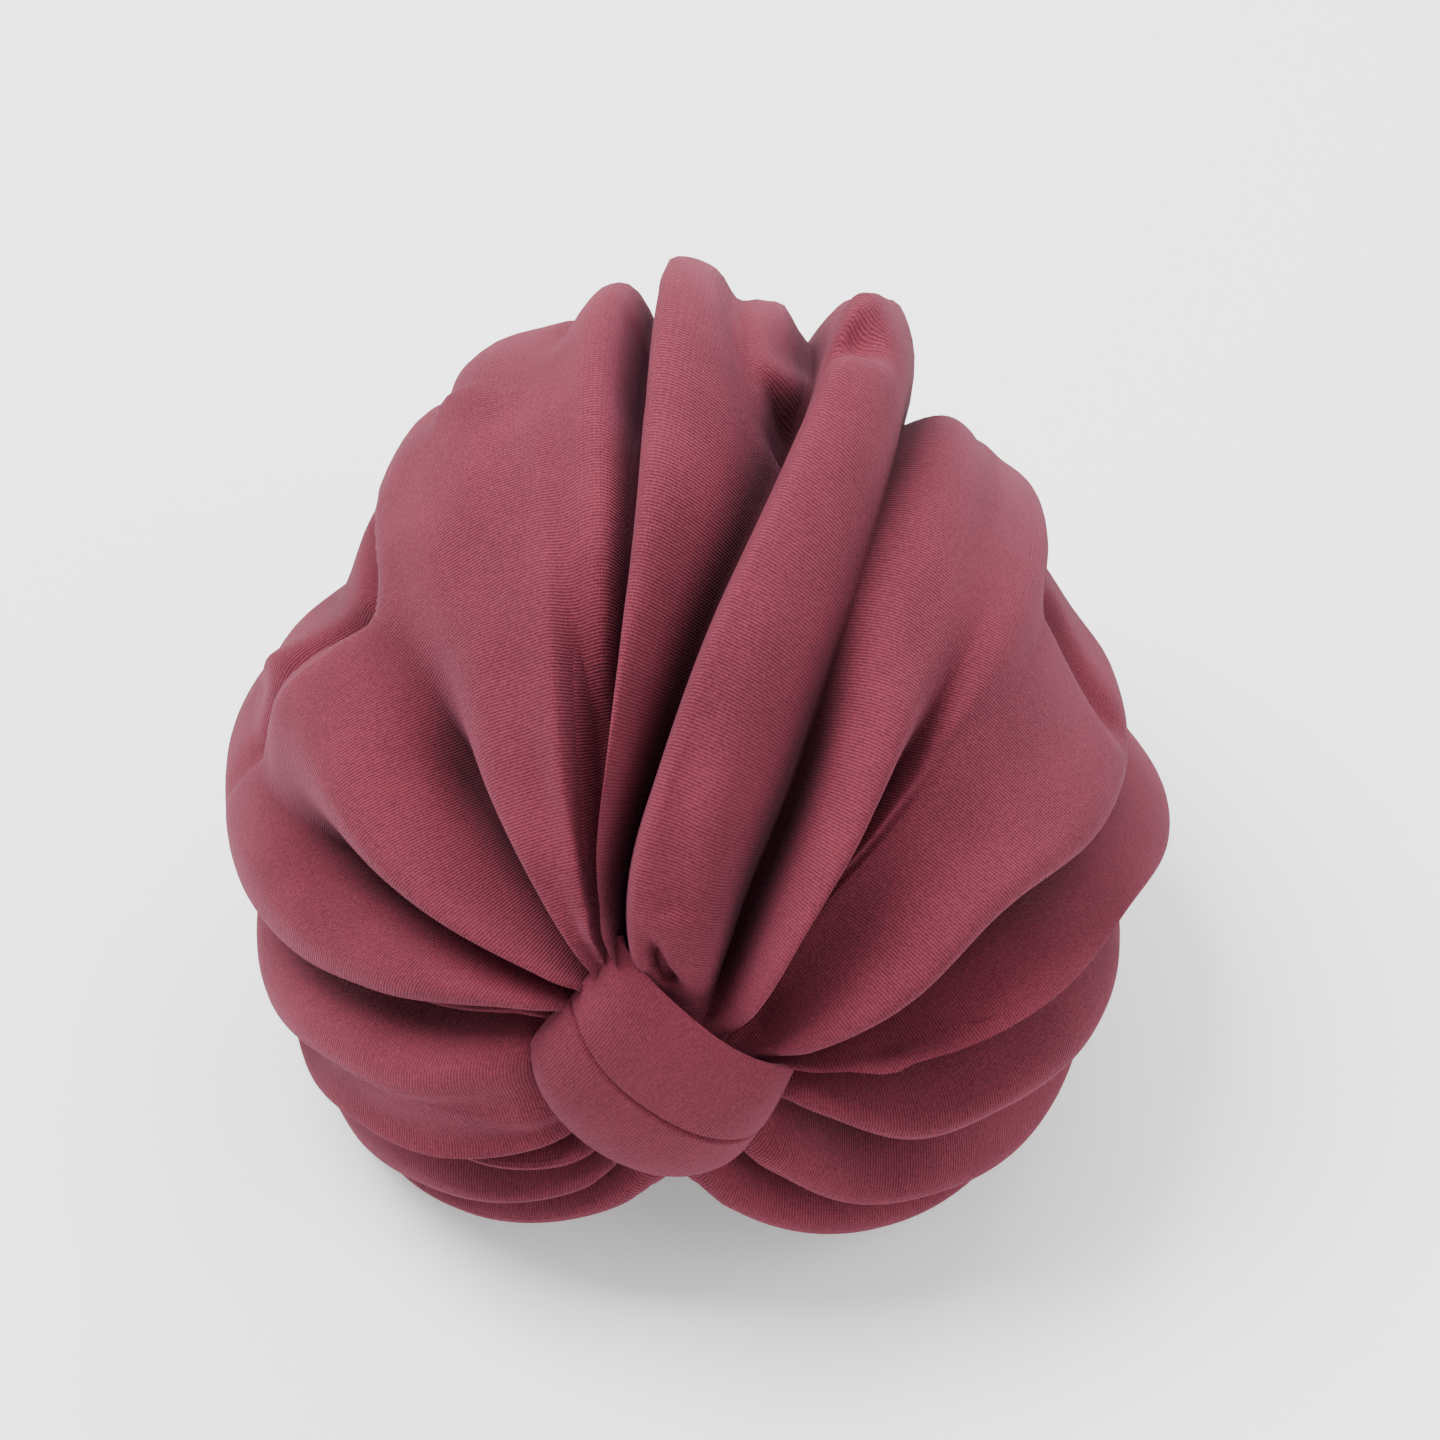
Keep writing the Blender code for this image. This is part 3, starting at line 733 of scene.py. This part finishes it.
@dataclass
class Crown:
    """Pleated crown cloth: one wide piece whose folds fan out from the front gather.

    A fold grows to its full height over the angle emerge and to its full lean over lean_angle.
    Where it is narrower than tight_width the inner skin lies flat under it, and from
    open_width on it follows the fold. The steps set how fine the mesh is, and the hollow
    sizes tell how far and how far down a crease has to lie to get the full painted shade.
    """

    form: BaseForm
    finish: JerseyFinish
    wall: float = 2.4 * MM
    fold_unit: float = 10 * MM
    emerge: float = 9.0
    lean_angle: float = 25.0
    side_step: float = 0.5
    tight_width: float = 5 * MM
    open_width: float = 16 * MM
    flank_share: float = 0.15
    fold_end: float = 165.0
    steps_station: float = 90.0
    least_steps: float = 3.5
    steps_by_turn: float = 0.4
    steps_by_rise: float = 5.4
    inner_steps: int = 4
    rows: int = 245
    row_growth: float = 1.25
    hem_steps: int = 3
    hollow_columns: float = 7.0
    hollow_rows: float = 4.0
    hollow_depth: float = 9 * MM
    hollow_power: float = 1.5

    def fold(self, number: int, across: np.ndarray) -> tuple[np.ndarray, np.ndarray]:
        """Outer and inner skins of one fold.

        Args:
            number: The fold's place in the table.
            across: Shares of the fold's width.

        Returns:
            Outer points and inner points, by column and row.
        """
        low, high = VALLEYS[number], VALLEYS[number + 1]
        fold = FOLDS[number]
        across = across[:, None]
        mix = smooth(across)
        begin = low.start + (high.start - low.start) * mix
        share = np.linspace(0.0, 1.0, self.rows)[None, :] ** self.row_growth
        along = begin + (self.fold_end - begin) * share
        turn_low = eased(STATIONS, low.turns, along)
        turn_high = eased(STATIONS, high.turns, along)
        around = turn_low + (turn_high - turn_low) * across
        emerged = smooth((along - begin) / self.emerge)
        floor = eased(LEVELS, low.floors, along) * (1.0 - mix)
        floor = self.fold_unit * emerged * (floor + eased(LEVELS, high.floors, along) * mix)
        rise = self.fold_unit * emerged * eased(LEVELS, fold.rises, along)
        arch = np.maximum(np.sin(math.pi * across), 0.0)
        bump = fold.arch(across, along)
        way = self.form.direction(around, along)
        sideways = self.form.direction(around + self.side_step, along) - way
        sideways /= np.linalg.norm(sideways, axis=-1, keepdims=True)
        radius = self.form.radius(way)
        width = np.radians(turn_high - turn_low) * radius * np.sin(np.radians(along))
        height = floor + (rise - floor) * bump
        for stroke in STROKES:
            height = height + stroke.over(around, along, radius)
        lean_by = fold.lean * rise * arch * smooth((along - begin) / self.lean_angle)
        outer = self.form.over(way, height) + sideways * lean_by[..., None]
        openness = smooth((width - self.tight_width) / (self.open_width - self.tight_width))
        inner_height = floor - self.wall + (height - floor) * openness
        flank = np.minimum(self.wall, self.flank_share * width) * np.sin(2.0 * math.pi * across)
        shift = (lean_by + flank) * openness
        inner = self.form.over(way, inner_height) + sideways * shift[..., None]
        return outer, inner

    def steps_across(self, number: int) -> int:
        """Steps over one fold's outer side, more for a wide or a high one.

        Args:
            number: The fold's place in the table.

        Returns:
            Steps from crease to crease.
        """
        station = STATIONS.index(self.steps_station)
        width = VALLEYS[number + 1].turns[station] - VALLEYS[number].turns[station]
        steps = self.least_steps + self.steps_by_turn * width
        return round(steps + self.steps_by_rise * max(FOLDS[number].rises))

    def skin(self, inside: bool) -> np.ndarray:
        """One skin of the whole cloth.

        Args:
            inside: Whether the inner skin is wanted.

        Returns:
            Points, by column and row.
        """
        parts = []
        for number in range(len(FOLDS)):
            steps = self.inner_steps if inside else self.steps_across(number)
            across = np.arange(0 if number == 0 else 1, steps + 1) / steps
            parts.append(self.fold(number, across)[int(inside)])
        return np.concatenate(parts)

    def hem(self, outer: np.ndarray, inner: np.ndarray, beyond: np.ndarray) -> list[np.ndarray]:
        """Round turned edge between the two skins.

        Args:
            outer: The outer skin's edge.
            inner: The inner skin's edge.
            beyond: The next line of the outer skin, inside the cloth.

        Returns:
            Lines of points from the outer edge to the inner one.
        """
        middle = (outer + inner) / 2.0
        half = (outer - inner) / 2.0
        out = outer - beyond
        out -= half * (np.sum(out * half, -1) / np.sum(half * half, -1))[:, None]
        out /= np.linalg.norm(out, axis=-1, keepdims=True) + TINY
        size = np.linalg.norm(half, axis=-1, keepdims=True)
        turns = [math.pi * step / (self.hem_steps + 1) for step in range(1, self.hem_steps + 1)]
        return [middle + half * math.cos(turn) + out * size * math.sin(turn) for turn in turns]

    def build(self) -> bpy.types.Object:
        """Make the cloth as one closed shell.

        Returns:
            The piece, in its finish.
        """
        outer = self.skin(inside=False)
        inner = self.skin(inside=True)
        left = self.hem(outer[-1], inner[-1], outer[-2])
        right = self.hem(outer[0], inner[0], outer[1])
        loop = [*outer, *left, *inner[::-1], *right[::-1], outer[0]]
        points = np.array(loop)
        ends = points[:, [0, -1]].mean(axis=0)
        first = np.broadcast_to(ends[:1], points[:, :1].shape)
        last = np.broadcast_to(ends[1:], points[:, -1:].shape)
        points = np.concatenate([first, points, last], axis=1)
        uv = self.flat_map(outer, points.shape[0])
        piece = cloth_grid("crown_cloth_folds", points, uv, self.crease_shade_amounts(outer, points))
        piece.data.materials.append(self.finish.build())
        return piece

    def crease_shade_amounts(self, outer: np.ndarray, points: np.ndarray) -> np.ndarray:
        """Painted shade for each point, from how far it lies below its neighbours.

        Args:
            outer: The outer skin, by column and row.
            points: The whole shell, which starts with the outer skin's columns.

        Returns:
            Painted shade amounts from 0 to 1, one for each of the shell's points.
        """
        middle = np.array([0.0, 0.0, self.form.middle_height])
        lift = np.linalg.norm(outer - middle, axis=-1)
        around = spread_out(spread_out(lift, self.hollow_columns, 0), self.hollow_rows, 1)
        # Painted shade: points that lie under the blurred level of their neighbours are darkened
        below = np.clip((around - lift) / self.hollow_depth, 0.0, 1.0)
        shade_paint = np.zeros(points.shape[:2])
        shade_paint[: len(outer), 1:-1] = below**self.hollow_power
        return shade_paint

    def flat_map(self, outer: np.ndarray, loops: int) -> np.ndarray:
        """Flat places of the shell, measured on the cloth itself.

        Args:
            outer: The outer skin, by column and row.
            loops: Columns of the whole shell.

        Returns:
            Places in metres, across the folds and along them, by column and row.
        """
        third_row = outer[:, self.rows // 3]
        steps = np.linalg.norm(np.diff(third_row, axis=0), axis=-1)
        across = np.concatenate([[0.0], np.cumsum(steps)])
        lengths = np.linalg.norm(np.diff(outer, axis=1), axis=-1).mean(0)
        along = np.concatenate([[0.0], [0.0], np.cumsum(lengths), [lengths.sum()]])
        inside = np.linspace(across[-1], 0.0, loops - len(across) - 2 * self.hem_steps - 1)
        around = [across, np.full(self.hem_steps, across[-1]), inside]
        around = np.concatenate([*around, np.zeros(self.hem_steps + 1)])
        return np.stack(np.meshgrid(around, along, indexing="ij"), -1)


@dataclass
class Band:
    """Smooth strap laid slantwise over the gather, with one seam along it.

    tilt is its slant in degrees. starts and ends are how far it runs, at shares_across of its
    width, and lows, seams and highs are its lower edge, its seam and its upper edge, at
    shares_along of its length.
    """

    form: BaseForm
    finish: JerseyFinish
    tilt: float = 45.0
    height: float = 12.5 * MM
    edge_height: float = 4.5 * MM
    upper_edge_height: float = 8.5 * MM
    end_height: float = 3.5 * MM
    wall: float = 2.4 * MM
    seam_depth: float = 0.9 * MM
    seam_width: float = 0.6 * MM
    columns: int = 100
    rows: int = 220
    edge_power: float = 3.5
    shares_across: tuple[float, ...] = (0.0, 0.15, 0.3, 0.6, 1.0)
    starts: tuple[float, ...] = (-22 * MM, -32 * MM, -35 * MM, -37.5 * MM, -43 * MM)
    ends: tuple[float, ...] = (15 * MM, 27 * MM, 30.5 * MM, 27 * MM, 18 * MM)
    shares_along: tuple[float, ...] = (0.0, 0.3, 0.6, 1.0)
    lows: tuple[float, ...] = (-24.5 * MM, -27 * MM, -28 * MM, -24 * MM)
    seams: tuple[float, ...] = (3 * MM, -0.2 * MM, 0.5 * MM, 7 * MM)
    highs: tuple[float, ...] = (25.5 * MM, 25 * MM, 25 * MM, 28.5 * MM)

    def skin(self, along: np.ndarray, across: np.ndarray) -> np.ndarray:
        """Points of the strap's outer side.

        Args:
            along: Shares of its length.
            across: Shares of its width.

        Returns:
            Points, one for each pair of shares.
        """
        front, side, up = self.form.axes()
        start = eased(self.shares_across, self.starts, across)
        end = eased(self.shares_across, self.ends, across)
        low = eased(self.shares_along, self.lows, along)
        seam = eased(self.shares_along, self.seams, along)
        high = eased(self.shares_along, self.highs, along)
        run = start + (end - start) * along
        spread = low + (high - low) * across
        tilt = math.radians(self.tilt)
        right = run * math.cos(tilt) + spread * math.sin(tilt)
        rise = spread * math.cos(tilt) - run * math.sin(tilt)
        reach = self.form.radius(front[None])[0] + self.height
        way = front * reach + side * right[..., None] + up * rise[..., None]
        way /= np.linalg.norm(way, axis=-1, keepdims=True)
        power = self.edge_power
        inward = 1.0 - np.abs(2.0 * along - 1.0) ** power
        middle = inward * (1.0 - np.abs(2.0 * across - 1.0) ** power)
        rolled = self.upper_edge_height - self.edge_height
        edge = self.edge_height + rolled * smooth(across * 2.0 - 1.0)
        edge = self.end_height + (edge - self.end_height) * inward
        height = edge + (self.height - edge) * middle
        height = height - self.seam_depth * np.exp(-(((spread - seam) / self.seam_width) ** 2))
        return self.form.over(way, height)

    def build(self) -> bpy.types.Object:
        """Make the strap as one closed shell.

        Returns:
            The piece, in its finish.
        """
        along = np.linspace(0.0, 1.0, self.columns)[:, None] * np.ones(self.rows)
        across = np.linspace(0.0, 1.0, self.rows)[None, :] * np.ones((self.columns, 1))
        outer = self.skin(along, across)
        steps = np.linalg.norm(np.diff(outer, axis=0), axis=-1).mean(1)
        lines = np.linalg.norm(np.diff(outer, axis=1), axis=-1).mean(0)
        u = np.concatenate([[0.0], np.cumsum(lines)])
        v = np.concatenate([[0.0], np.cumsum(steps)])
        uv = np.stack(np.broadcast_arrays(u[None, :], v[:, None]), -1)
        piece = cloth_grid("front_band_strap", outer, uv, np.zeros(outer.shape[:2]))
        wall = piece.modifiers.new("wall", "SOLIDIFY")
        wall.thickness = self.wall
        wall.offset = -1.0
        only(piece)
        bpy.ops.object.modifier_apply(modifier="wall")
        piece.data.materials.append(self.finish.build())
        return piece


@dataclass(frozen=True)
class Lamp:
    """Square area light: its name, place and side in metres, and its power in watts."""

    name: str
    place: tuple[float, float, float]
    size: float
    power: float


@dataclass
class Studio:
    """Pale floor, soft lights and the camera at the photograph's angle."""

    elevation: float = 47.0
    distance: float = 1.0
    frame_width: float = 0.36
    aim: tuple[float, float, float] = (0.0, 0.0, 50 * MM)
    frame_shift: tuple[float, float] = (6.75 * MM, 13.75 * MM)
    sensor: float = 36.0
    floor_size: float = 6.0
    floor_gap: float = 1 * MM
    floor_glow: float = 0.35
    floor_roughness: float = 0.9
    floor_colour: tuple[float, float, float, float] = (0.92, 0.92, 0.92, 1.0)
    surround_colour: tuple[float, float, float, float] = (1.0, 1.0, 1.0, 1.0)
    surround_strength: float = 0.72
    lamps: tuple[Lamp, ...] = (
        Lamp("key_light", (-0.7, 0.1, 1.6), 0.9, 68.0),
        Lamp("fill_light", (1.2, -0.7, 1.3), 1.2, 19.0),
        Lamp("back_light", (0.5, 1.2, 1.2), 1.2, 30.0),
    )

    def build(self) -> None:
        """Set up the stage."""
        self.add_floor()
        self.add_camera()
        self.add_lights()

    def add_floor(self) -> None:
        """Pale floor just under the rim."""
        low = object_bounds()[0][2]
        bpy.ops.object.select_all(action="DESELECT")
        place = (0.0, 0.0, low - self.floor_gap)
        bpy.ops.mesh.primitive_plane_add(size=self.floor_size, location=place)
        floor = bpy.context.object
        floor.name = "floor"
        shader = Shader("floor_paint")
        shader.set(Base_Color=self.floor_colour, Roughness=self.floor_roughness)
        shader.set(Emission_Color=self.floor_colour, Emission_Strength=self.floor_glow)
        floor.data.materials.append(shader.material)
        floor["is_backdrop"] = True

    def add_camera(self) -> None:
        """Camera in front of the headwrap and above it."""
        tilt = math.radians(self.elevation)
        back = Vector((0.0, -math.cos(tilt), math.sin(tilt)))
        up = Vector((0.0, math.sin(tilt), math.cos(tilt)))
        right = Vector((1.0, 0.0, 0.0))
        place = Vector(self.aim) + back * self.distance
        place += right * self.frame_shift[0] + up * self.frame_shift[1]
        lens = bpy.data.cameras.new("camera")
        lens.sensor_width = self.sensor
        lens.lens = lens.sensor_width * self.distance / self.frame_width
        camera = bpy.data.objects.new("camera", lens)
        turned = back.to_track_quat("Z", "Y").to_matrix().to_4x4()
        camera.matrix_world = Matrix.Translation(place) @ turned
        bpy.context.collection.objects.link(camera)
        bpy.context.scene.camera = camera

    def add_lights(self) -> None:
        """Large soft lights and a pale surround."""
        for lamp in self.lamps:
            self.add_light(lamp)
        world = bpy.data.worlds.new("surround")
        world.use_nodes = True
        backdrop = world.node_tree.nodes["Background"]
        backdrop.inputs["Color"].default_value = self.surround_colour
        backdrop.inputs["Strength"].default_value = self.surround_strength
        bpy.context.scene.world = world

    def add_light(self, lamp: Lamp) -> None:
        """Hang a light so that it faces the headwrap.

        Args:
            lamp: The light's place and strength.
        """
        source = bpy.data.lights.new(lamp.name, "AREA")
        source.size = lamp.size
        source.energy = lamp.power
        light = bpy.data.objects.new(lamp.name, source)
        toward = Vector(lamp.place) - Vector(self.aim)
        turned = toward.to_track_quat("Z", "Y").to_matrix().to_4x4()
        light.matrix_world = Matrix.Translation(lamp.place) @ turned
        bpy.context.collection.objects.link(light)


def main() -> None:
    """Build the headwrap over its frame and light it."""
    logging.basicConfig(level=logging.INFO, format="%(message)s")
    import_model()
    form = BaseForm()
    ribbed = JerseyFinish(
        "crown_jersey_knit",
        shade=(0.064, 0.0086, 0.0165, 1.0),
        light=(0.168, 0.0250, 0.0430, 1.0),
    )
    plain = JerseyFinish(
        "band_jersey_knit",
        shade=(0.068, 0.0088, 0.0170, 1.0),
        light=(0.156, 0.0230, 0.0400, 1.0),
        course=0.75 * MM,
        line_strength=0.2,
    )
    crown = Crown(form, ribbed).build()
    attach(crown, "root")
    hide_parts("crown_cloth")
    LOG.info("crown cloth: %d faces", len(crown.data.polygons))
    band = Band(form, plain).build()
    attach(band, "root")
    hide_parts("front_band")
    LOG.info("front band: %d faces", len(band.data.polygons))
    Studio().build()


if __name__ == "__main__":
    main()
